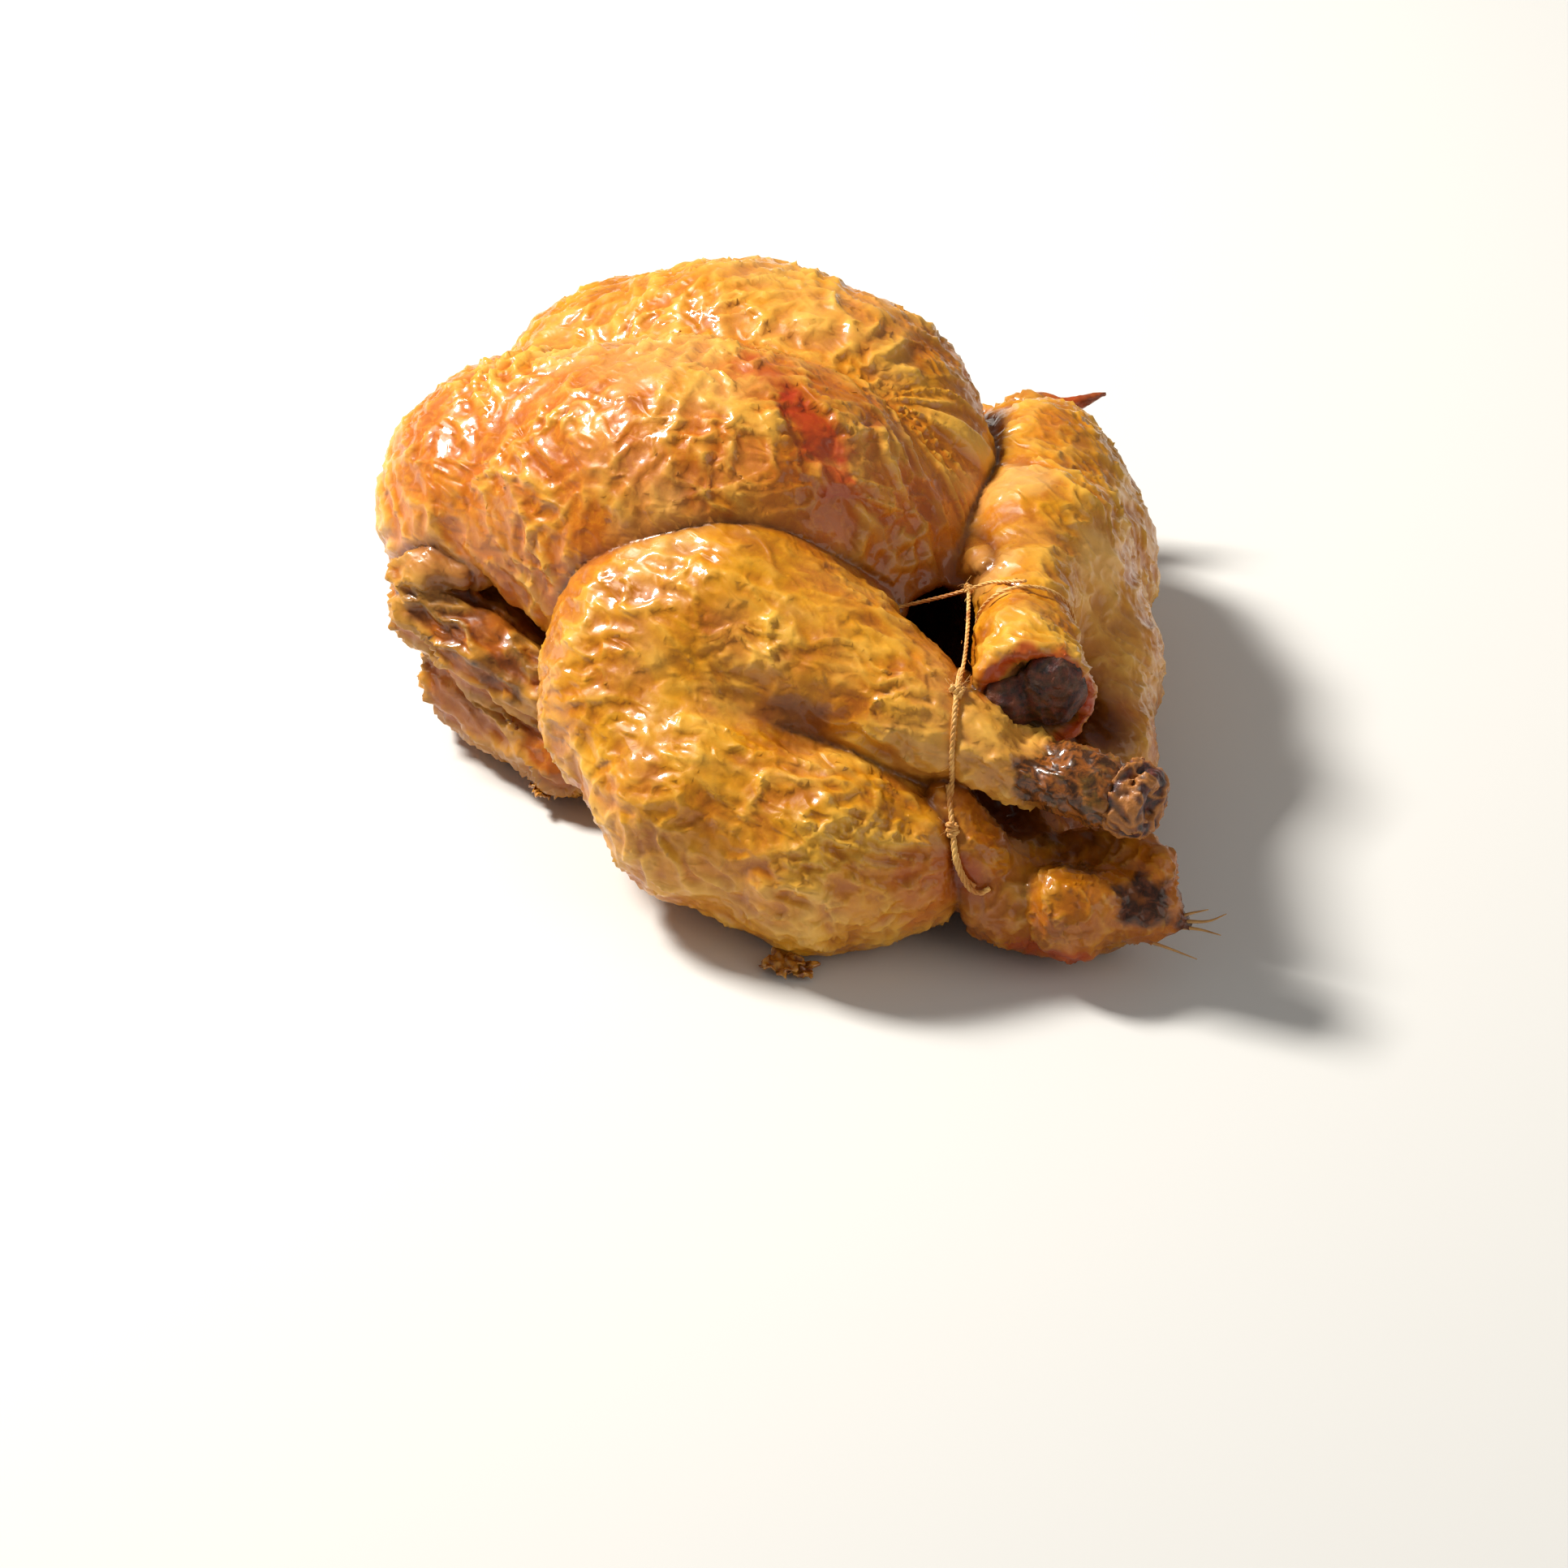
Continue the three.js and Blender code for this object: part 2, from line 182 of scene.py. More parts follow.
def near_leg(p):
    """Thigh and drumstick are one round mass at the knee and part in a crease towards the shank."""
    return melt(near_thigh(p), near_drumstick(p), np.interp(p[:, 0], CREASE_OPENS, (15, 3.5)))


def far_thigh(p):
    return limb(p, [(-20, 70, 35, 20), (9, 54, 31, 19.5), (46, 28, 29, 16.5), (74, 8, 27, 14)], 14)


def along_bone(p, start, end):
    """Place along a bone, then to its side and above it, in millimetres."""
    ahead = (end - start) / np.linalg.norm(end - start)
    side = np.cross(ahead, (0, 0, 1.0))
    side /= np.linalg.norm(side)
    return ((p - start) @ np.stack([ahead, side, np.cross(side, ahead)], -1)).astype(np.float32)


def beyond_far_face(p):
    return along_bone(p, FAR_SHIN_START, FAR_SHIN_END)[:, 0] - FAR_FACE


def far_drumstick(p):
    calf = limb(p, [(-4, 56.5, 47.5, 18), (26, 31, 52, 16.5), (46, 8, 58, FAR_SHANK)], 12)
    shank = limb(p, [
        (46, 8, 58, FAR_SHANK + 0.5), (56, -1, 60, FAR_SHANK - 1), (66, -9, 59, FAR_SHANK + 1),
        (77, -17.5, 57, FAR_SHANK + 3)], 3)
    dish = ellipsoid(p, FAR_SHIN_END + (6.4, -5.8, 0.5), (19.2, 19.2, 18.4))
    return carve(carve(melt(calf, shank, 3), -beyond_far_face(p), 5), dish, 2)


def far_leg(p):
    """The far drumstick lies against its thigh as far as the twine, and only the shank stands clear."""
    return melt(far_thigh(p), far_drumstick(p), np.interp(p[:, 0], FAR_CREASE_OPENS, (16, 2.5)))


def cavity(p):
    room = limb(p, [(30, -8, 42, 13.5), (0, -5, 42, 18), (-60, 3, 40, 20)], 6)
    vent = limb(p, [(30, -4, 42, 9), (60, 2, 42, 5), (112, 4, 43, 5)], 4)
    under_shank = limb(p, [(84, -27, 33, 4.5), (75, -24, 33.5, 4.7), (66, -22, 34, 5)], 3)
    return melt(melt(room, vent, 4), under_shank, 3)


def wing_hollow(p):
    return limb(p, [(-67, -72, 51, 4), (-57, -71, 45, 5.5), (-47, -68, 38, 5.5), (-38, -66, 33, 5)], 4)


PARTS = {
    "near_breast": near_breast, "far_breast": far_breast, "neck_end": neck_end, "back": back,
    "tail": tail, "near_wing": near_wing, "far_wing": far_wing, "near_thigh": near_thigh,
    "near_drumstick": near_drumstick, "far_thigh": far_thigh, "far_drumstick": far_drumstick}


def flesh(p):
    field = melt(near_breast(p), far_breast(p), 4)
    field = melt(field, neck_end(p), 10)
    field = melt(field, back(p), 14)
    field = carve(field, wing_hollow(p), 6)
    field = melt(field, tail(p), 8)
    for part in (near_wing, far_wing, near_leg, far_leg):
        field = melt(field, part(p), 2.5)
    field = carve(field, cavity(p), 5)
    return np.maximum(field, -p[..., 2])


def sample_near_surface(field, low, count, step):
    """The field on a grid: coarse everywhere, and fine only where the surface passes."""
    block = 4
    axes = [low[i] + step * np.arange(count[i]) for i in range(3)]
    rough_points = np.stack(np.meshgrid(*[a[::block] for a in axes], indexing="ij"), -1)
    rough = field(rough_points.astype(np.float32).reshape(-1, 3)).reshape(rough_points.shape[:3])
    values = rough
    for axis in range(3):
        values = np.repeat(values, block, axis)
    values = values[:count[0], :count[1], :count[2]].copy()
    corners = [rough[i:rough.shape[0] - 1 + i, j:rough.shape[1] - 1 + j, k:rough.shape[2] - 1 + k]
               for i in (0, 1) for j in (0, 1) for k in (0, 1)]
    reach = block * step * 1.2
    near = (np.minimum.reduce(corners) < reach) & (np.maximum.reduce(corners) > -reach)
    inner = np.stack(np.meshgrid(*[np.arange(block + 1)] * 3, indexing="ij"), -1).reshape(-1, 3)
    blocks = np.argwhere(near)
    for start in range(0, len(blocks), 8000):
        index = (blocks[start:start + 8000, None, :] * block + inner[None]).reshape(-1, 3)
        key = np.unique(np.ravel_multi_index(index.T, values.shape))
        cell = np.array(np.unravel_index(key, values.shape)).T
        values.reshape(-1)[key] = field((low + cell * step).astype(np.float32))
    return values


def skin_over(field, low, high, step):
    """Vertices and four-sided faces of the surface where the field is nought."""
    low = np.array(low, float)
    count = (np.ceil((np.array(high) - low) / step / 4).astype(int)) * 4 + 1
    values = sample_near_surface(field, low, count, step)
    inside = values < 0

    def cells(array, i, j, k):
        n = array.shape
        return array[i:n[0] - 1 + i, j:n[1] - 1 + j, k:n[2] - 1 + k]

    steps = [(i, j, k) for i in (0, 1) for j in (0, 1) for k in (0, 1)]
    filled = sum(cells(inside, *s).astype(np.int8) for s in steps)
    cut = np.argwhere((filled > 0) & (filled < 8))
    number = -np.ones(filled.shape, np.int64)
    number[tuple(cut.T)] = np.arange(len(cut))
    total = np.zeros((len(cut), 3))
    crossings = np.zeros(len(cut))
    for a in steps:
        for axis in range(3):
            if a[axis]:
                continue
            b = list(a)
            b[axis] = 1
            fa = values[tuple((cut + a).T)]
            fb = values[tuple((cut + b).T)]
            crossed = (fa < 0) != (fb < 0)
            spot = np.zeros((len(cut), 3)) + np.array(a, float)
            spot[:, axis] += np.where(crossed, fa / (fa - fb + 1e-20), 0)
            total += spot * crossed[:, None]
            crossings += crossed
    vertices = low + (cut + total / crossings[:, None]) * step
    faces = []
    for axis in range(3):
        ahead = [int(axis == m) for m in range(3)]
        n = inside.shape
        here = inside[:n[0] - ahead[0], :n[1] - ahead[1], :n[2] - ahead[2]]
        edge = np.argwhere(here != inside[ahead[0]:, ahead[1]:, ahead[2]:])
        u, v = (axis + 1) % 3, (axis + 2) % 3
        du = np.eye(3, dtype=int)[u]
        dv = np.eye(3, dtype=int)[v]
        ring = [edge - du - dv, edge - dv, edge, edge - du]
        quad = np.stack([number[tuple(r.T)] for r in ring], 1)
        outward = ~here[tuple(edge.T)]
        quad[outward] = quad[outward][:, ::-1]
        faces.append(quad)
    return vertices, np.concatenate(faces)


def noise(p, size, seed):
    """Smooth noise from about -1 to 1, with lumps of the given size in millimetres."""
    q = np.asarray(p, np.float64) / np.asarray(size, float) + seed * 17.31
    base = np.floor(q).astype(np.int64)
    f = q - base
    ease = f * f * f * (f * (f * 6 - 15) + 10)
    result = 0
    for corner in [(i, j, k) for i in (0, 1) for j in (0, 1) for k in (0, 1)]:
        c = base + corner
        h = (c[:, 0] * 374761393 + c[:, 1] * 668265263 + c[:, 2] * 1440662683 + seed * 97531) & 0xffffffff
        h = ((h ^ (h >> 13)) * 1274126177) & 0xffffffff
        h = ((h ^ (h >> 16)) * 2246822519) & 0xffffffff
        angle = (h & 0xffff) * (2 * np.pi / 65536)
        lift = ((h >> 16) & 0xffff) / 32768.0 - 1
        flat = np.sqrt(np.maximum(1 - lift * lift, 0))
        offset = f - corner
        pull = offset[:, 0] * flat * np.cos(angle) + offset[:, 1] * flat * np.sin(angle) + offset[:, 2] * lift
        share = np.prod(np.where(np.array(corner), ease, 1 - ease), axis=1)
        result = result + pull * share
    return result * 1.6


def crinkle(p, size, seed, warp=0.6, sharp=3.4):
    """Narrow ridges between broad hollows, 0 in the hollows and 1 along the ridges."""
    width = np.min(size)
    bend = np.stack([noise(p, width * 1.6, seed + 1 + m) for m in range(3)], -1)
    ridge = 1 - np.abs(noise(p + bend * width * warp, size, seed)) * sharp
    return np.clip(ridge, 0, 1) ** 1.3


def folds_across(p, heading, width, seed):
    """Long sharp folds that lie across a heading, flat between, from 0 to 1."""
    ahead = np.array(heading, float) / np.linalg.norm(heading)
    place = p @ ahead / width + noise(p, width * 2.6, seed) * 1.1 + noise(p, width * 1.1, seed + 2) * 0.3
    return (1 - np.abs(place % 1 * 2 - 1)) ** 1.7


def patch(p, centre, radii, rough, seed):
    """A ragged spot round a point, 1 in its middle."""
    edge = noise(p, min(radii) * 0.7, seed) * rough + noise(p, min(radii) * 0.3, seed + 3) * rough * 0.5
    distance = np.sqrt((((p - np.array(centre)) / np.array(radii)) ** 2).sum(-1)) + edge
    return np.clip((1 - distance) * 3, 0, 1)


def turned_along(p, heading):
    """The points with their x turned to run along a heading, for a pattern drawn out that way."""
    ahead = np.array(heading, float) / np.linalg.norm(heading)
    side = np.cross((0, 0, 1.0), ahead)
    side /= np.linalg.norm(side)
    return p @ np.stack([ahead, side, np.cross(ahead, side)], -1)


def round_about(p, centre):
    """Polar place about an upright axis, in millimetres, for pleats that fan out from it."""
    q = p - np.array(centre)
    reach = np.hypot(q[:, 0], q[:, 1])
    return np.stack([np.arctan2(q[:, 1], q[:, 0]) * 26, reach * 0.22, q[:, 2] * 0.22], -1)


def vertex_normals(vertices, faces):
    face = np.cross(
        vertices[faces[:, 2]] - vertices[faces[:, 0]], vertices[faces[:, 3]] - vertices[faces[:, 1]])
    result = np.zeros_like(vertices)
    for corner in range(4):
        for axis in range(3):
            result[:, axis] += np.bincount(faces[:, corner], face[:, axis], len(vertices))
    return result / np.maximum(np.linalg.norm(result, axis=1, keepdims=True), 1e-9)


def shares(p):
    """How much of each part of the bird a point of skin belongs to, and how deep in a crease it is."""
    distance = np.stack([part(p.astype(np.float32)) for part in PARTS.values()], -1)
    closest = distance.min(-1, keepdims=True)
    weight = np.exp(-(distance - closest) / 2.5)
    weight /= weight.sum(-1, keepdims=True)
    share = dict(zip(PARTS, weight.T))
    column = dict(zip(PARTS, distance.T))
    near_pair = (column.pop("near_thigh"), column.pop("near_drumstick"))
    far_pair = (column.pop("far_thigh"), column.pop("far_drumstick"))
    legs_whole = [np.minimum(*near_pair), np.minimum(*far_pair)]
    ordered = np.sort(np.stack(list(column.values()) + legs_whole, -1), -1)
    torso = share["near_breast"] + share["far_breast"] + share["back"] + share["neck_end"]
    crease = np.exp(-(ordered[:, 1] - ordered[:, 0]) / 2.2) * (1 - np.clip(torso * 2 - 1.04, 0, 1))
    for pair, whole, opens in zip((near_pair, far_pair), legs_whole, (CREASE_OPENS, FAR_CREASE_OPENS)):
        on_leg = whole <= ordered[:, 0]
        within = np.exp(-np.abs(pair[0] - pair[1]) / 2.2) * on_leg * np.interp(p[:, 0], opens, (0, 1))
        crease = np.maximum(crease, within)
    share["breast"] = share["near_breast"] + share["far_breast"] + share["neck_end"]
    share["legs"] = sum(
        share[name] for name in ("near_thigh", "near_drumstick", "far_thigh", "far_drumstick"))
    share["wings"] = share["near_wing"] + share["far_wing"]
    return share, crease


def twine_bite(p):
    """1 where a turn of the twine presses into the skin."""
    bite = np.zeros(len(p))
    for centre, axis, reach in TWINE_RINGS:
        ahead = np.array(axis, float) / np.linalg.norm(axis)
        q = p - np.array(centre)
        off_plane = q @ ahead
        bite = np.maximum(bite, np.exp(-(off_plane / 1.9) ** 2) * (np.linalg.norm(q, axis=1) < reach + 7))
    return bite


def burnt_shank(p):
    """1 on the near shank past the ragged edge that the shrinking skin has drawn back to."""
    reach = along_bone(p, NEAR_SHIN_START, NEAR_SHIN_END)[:, 0]
    ragged = noise(p, 5, 301) * 3.5 + noise(p, 2, 305) * 1.2
    skin_left_below = np.clip((40 - p[:, 2]) * 1.8, 0, 16)
    skin_left_above = np.clip((p[:, 2] - 55.5) * 3.5, 0, 18)
    return np.clip((reach - SKIN_EDGE - skin_left_below - skin_left_above + ragged) / 1.6, 0, 1)


def relief(p, share):
    """Height of the skin's folds in millimetres: crumpled over the breast, drawn along the legs."""
    lump = noise(p, 24, 11) * 1.1 + noise(p, 13, 15) * 0.7
    strength = np.clip(0.8 + 0.6 * noise(p, 20, 21), 0.3, 1.3)
    across = turned_along(p, (10, 4, 2))
    one_way = np.clip(0.5 + 1.6 * noise(p, 17, 25), 0, 1)
    long_folds = folds_across(p, (0.5, 0.8, 0.5), 8, 33) * one_way
    long_folds += folds_across(p, (0.9, -0.3, 0.6), 7, 35) * (1 - one_way)
    crumple = crinkle(across, (19, 10, 10), 31, 1.0, 4.6) * 1.1 + long_folds * 1.2
    crumple += crinkle(p, (6, 6, 6), 41, 0.9, 4.6) * 0.65
    pleats = crinkle(round_about(p, (-14, 14, 50)), (6, 8, 8), 51, 0.5, 3.6) * 2.2
    pleats_left = (
        folds_across(p, (0.643, 0.766, 0), 5.5, 55) * 1.3
        + crinkle(p, (7, 7, 26), 57, 0.5, 4.0) * 0.8)
    fan = patch(p, (4, 26, 62), (36, 26, 32), 0.25, 71)
    drop = patch(p, (-92, -56, 46), (42, 42, 32), 0.25, 61) * (1 - fan)
    smooth_tear = patch(p, TEAR, (13, 8, 13), 0.35, 75)
    over_breast = crumple * (1 - 0.75 * fan) * (1 - 0.7 * drop) + pleats * fan + pleats_left * drop
    over_breast = over_breast * strength * (1 - 0.85 * smooth_tear) - 1.0 * smooth_tear
    leg_way = turned_along(p, (38, 13, -1))
    drawn = (
        folds_across(p, (-0.22, 0.67, 0.7), 7, 81) * 0.8
        + crinkle(leg_way, (22, 7, 7), 83, 0.8, 4.4) * 0.9)
    drawn += crinkle(leg_way, (11, 7, 7), 91, 0.8, 4.4) * 0.5 + noise(p, 11, 97) * 0.8
    drawn += crinkle(leg_way, (18, 3.4, 3.4), 99, 0.6, 3.4) * 0.8 * np.clip((p[:, 0] - 50) / 20, 0, 1)
    wing_way = turned_along(p, (40, 10, -10))
    folded = (
        crinkle(wing_way, (26, 5.5, 5.5), 101, 0.4, 3.0) * 2.4
        + crinkle(wing_way, (12, 3, 3), 103, 0.4, 3.0) * 0.7)
    folded *= np.interp(p[:, 1], (82, 95), (1, 0.2))
    lumpy = noise(p, 6, 111) * 0.9 + crinkle(p, (4.6, 4.6, 4.6), 121, 0.9, 4.0) * 0.9
    burnt = burnt_shank(p) * share["near_drumstick"]
    shrunk = crinkle(leg_way, (12, 4, 4), 125, 0.8, 3.0) * 1.1 + noise(p, 3, 127) * 0.3 - 1.1
    height = share["breast"] * over_breast + share["legs"] * drawn * strength * (1 - burnt)
    height += share["wings"] * folded + share["tail"] * lumpy + share["back"] * crumple * 0.5 + burnt * shrunk
    fine = crinkle(p, (2.6, 2.6, 2.6), 131, 0.6, 4.0) * 0.25
    return lump, height, fine


def skin_marks(p, share, crease, height):
    """What the skin looks like at each point, as numbers from 0 to 1 for the material,
    with painted shade and painted light among them.
    """
    # Nearness to the body cavity, which the marks below darken as painted shade.
    room = np.exp(-np.abs(np.minimum(cavity(p.astype(np.float32)), 20)) / 3.0)
    mottle = 0.5 + 0.5 * noise(p, 13, 201)
    drift = noise(p, 30, 203)
    on_shin = along_bone(p, FAR_SHIN_START, FAR_SHIN_END)
    off_axis = np.hypot(on_shin[:, 1], on_shin[:, 2]) + noise(p, 4, 205) * 1.2
    on_far_end = share["far_drumstick"] * np.clip((on_shin[:, 0] - FAR_FACE + 7) / 2, 0, 1)
    on_shank = share["near_drumstick"] * np.clip((p[:, 0] - 58) / 12, 0, 1)
    burnt = burnt_shank(p) * share["near_drumstick"]
    marks = {}
    marks["gold"] = np.clip(share["legs"] * 0.8 + share["neck_end"] * 0.5 + share["far_breast"] * 0.5
                            + share["tail"] * 0.3 + (mottle - 0.5) * 0.9 + drift * 0.3, 0, 1)
    # Browning and painted shade: real browning in mottled spots, two patches and on wings, tail and back,
    # with painted shade in the creases and in and round the cavity; darker towards the bottom too.
    low = np.clip(1 - p[:, 2] / 26, 0, 1)
    marks["browning_and_painted_shade"] = np.clip(0.45 * low + 0.9 * crease + 0.9 * room + 0.5 * share["wings"]
                             + 0.25 * share["tail"] + 0.8 * share["back"] + 0.5 * (mottle - 0.6)
                             + patch(p, (43, -63, 54), (13, 9, 9), 0.6, 207) * 0.8
                             + patch(p, (30, -8, 66), (20, 22, 16), 0.4, 209) * 0.4, 0, 1)
    # Painted shade: near black-brown in and round the cavity, deep in creases, in the hollow between the near
    # wing and the breast, and in the recess over the tail.
    marks["painted_hollow_shade"] = np.clip(room * 1.2 + crease * crease * 0.5
                            + np.exp(-np.abs(wing_hollow(p.astype(np.float32))) / 2.0) * 0.5
                            + patch(p, (99, -24, 29), (12, 7, 5), 0.3, 211) * 0.7, 0, 1)
    marks["char"] = np.clip(on_far_end * np.clip((11.2 - off_axis) / 1.2, 0, 1)
                            + patch(p, (118, -18, 21), (8, 9, 7), 0.5, 231)
                            + patch(p, (124, -10, 14), (6, 6, 6), 0.4, 233)
                            + patch(p, (-30, 106, 43), (9, 9, 9), 0.3, 235) * 0.5
                            + patch(p, (-60, -84, 38), (16, 8, 8), 0.7, 241) * 0.55
                            + patch(p, (-42, -80, 31), (16, 8, 7), 0.7, 245) * 0.6
                            + patch(p, (44, -62, 55), (8, 6, 6), 0.7, 247) * 0.3, 0, 1)
    marks["tissue"] = burnt
    rim = on_far_end * np.clip(1.8 - np.abs(off_axis - 12.3) / 1.1, 0, 1)
    marks["red"] = np.clip(patch(p, TEAR, (15, 7, 13), 0.5, 251) * 0.85
                           + patch(p, (-22, -17, 100), (12, 5, 8), 0.4, 253) * 0.6
                           + patch(p, (11, -21, 85), (8, 6, 7), 0.6, 255) * 0.7
                           + patch(p, (84, -58, 26), (13, 12, 14), 0.4, 259) * 0.45
                           + patch(p, (-2, -94, 16), (24, 12, 14), 0.3, 261) * 0.5
                           + patch(p, (110, -38, 6), (18, 10, 6), 0.6, 263) * 0.7
                           + rim * 1.2 + patch(p, (-34, 100, 39), (10, 10, 10), 0.3, 265) * 0.5, 0, 1)
    # Pale: the skin's own paler places (tan wing-hand skin, whitish film by the near knuckle, random spots)
    # and painted light: painted highlight on breast crests and tops facing the key light, painted light on
    # the near shank and on the far thigh's shaded side.
    marks["pale_and_painted_light"] = np.clip(patch(p, (44, 32, 60), (12, 9, 10), 0.35, 271)
                            + patch(p, (-68, -84, 49), (13, 9, 6), 0.4, 281) * 0.7
                            + patch(p, (18, 26, 68), (12, 12, 16), 0.45, 285) * 0.6
                            + patch(p, (40, 1, 66), (10, 9, 8), 0.2, 287)
                            + patch(p, (-56, -28, 97), (42, 22, 18), 0.5, 293) * 0.5
                            + patch(p, (-58, 24, 84), (36, 26, 20), 0.5, 295) * 0.35
                            + patch(p, (-6, -60, 76), (18, 16, 13), 0.6, 297) * 0.35
                            + patch(p, (109, -20, 49), (6, 9, 9), 0.5, 289) * 0.9
                            + patch(p, (52, 22, 44), (26, 20, 18), 0.5, 299) * 0.4
                            + on_shank * 0.45 + 0.35 * np.clip(noise(p, 14, 291), 0, 1), 0, 1)
    # Fold height, which the material turns into painted highlight on ridges and painted shade in hollows.
    marks["ridge"] = np.clip(height / 1.8, 0, 1)
    return marks


def put_mesh(name, vertices, faces):
    """A smooth mesh object from millimetres."""
    mesh = bpy.data.meshes.new(name)
    mesh.from_pydata([tuple(v) for v in ((np.asarray(vertices) + TO_ROW) * MM).tolist()], [], faces)
    mesh.update()
    mesh.shade_smooth()
    thing = bpy.data.objects.new(name, mesh)
    bpy.context.scene.collection.objects.link(thing)
    return thing


def add_number(mesh, name, values):
    layer = mesh.attributes.new(name, "FLOAT", "POINT")
    layer.data.foreach_set("value", np.asarray(values, np.float32))


def make_bird():
    vertices, faces = skin_over(flesh, (-132, -112, -5), (132, 112, 112), SKIN_STEP)
    normals = vertex_normals(vertices, faces)
    share, crease = shares(vertices)
    lump, height, fine = relief(vertices, share)
    off_board = np.clip(vertices[:, 2] / 6, 0, 1)
    bite = twine_bite(vertices)
    quiet = off_board * (1 - 0.75 * crease) * (1 - 0.8 * bite)
    raised = lump * off_board + (height - 0.6 + fine) * quiet - bite * 1.1 - crease * crease * 1.6 * off_board
    grown = vertices + normals * raised[:, None]
    grown[:, 2] = np.maximum(grown[:, 2], 0.0)
    thing = put_mesh("chicken_skin", grown, faces.tolist())
    for name, values in skin_marks(vertices, share, crease, height).items():
        add_number(thing.data, name, values)
    return thing


bird = make_bird()
triangles = len(bird.data.polygons) * 2
if triangles > SKIN_FACES:
    thinner = bird.modifiers.new("thinner", "DECIMATE")
    thinner.ratio = SKIN_FACES / triangles
    bpy.context.view_layer.objects.active = bird
    bird.select_set(True)
    bpy.ops.object.modifier_apply(modifier="thinner")


def linear(code):
    """An sRGB hex colour as the linear RGBA that the shaders take."""
    parts = [int(code[i:i + 2], 16) / 255 for i in (1, 3, 5)]
    return [c / 12.92 if c <= 0.04045 else ((c + 0.055) / 1.055) ** 2.4 for c in parts] + [1.0]


def node(tree, kind, settings=None, links=None):
    """Adds a node, sets its inputs and properties, and links its inputs from other nodes' outputs."""
    made = tree.nodes.new(kind)
    for key, value in (settings or {}).items():
        if isinstance(key, int) or key in made.inputs:
            made.inputs[key].default_value = value
        else:
            setattr(made, key, value)
    for key, source in (links or {}).items():
        tree.links.new(source, made.inputs[key])
    return made


def new_material(name):
    material = bpy.data.materials.new(name)
    material.use_nodes = True
    tree = material.node_tree
    tree.nodes.clear()
    return material, tree


def mixed(tree, share, under, over, amount=1.0):
    """A colour laid over another, each a hex code or a node's output."""
    made = node(tree, "ShaderNodeMix", {"data_type": "RGBA"})
    scaled = node(tree, "ShaderNodeMath", {"operation": "MULTIPLY", 1: amount}, {0: share})
    tree.links.new(scaled.outputs[0], made.inputs[0])
    for socket, value in ((6, under), (7, over)):
        if isinstance(value, str):
            made.inputs[socket].default_value = linear(value)
        else:
            tree.links.new(value, made.inputs[socket])
    return made.outputs[2]


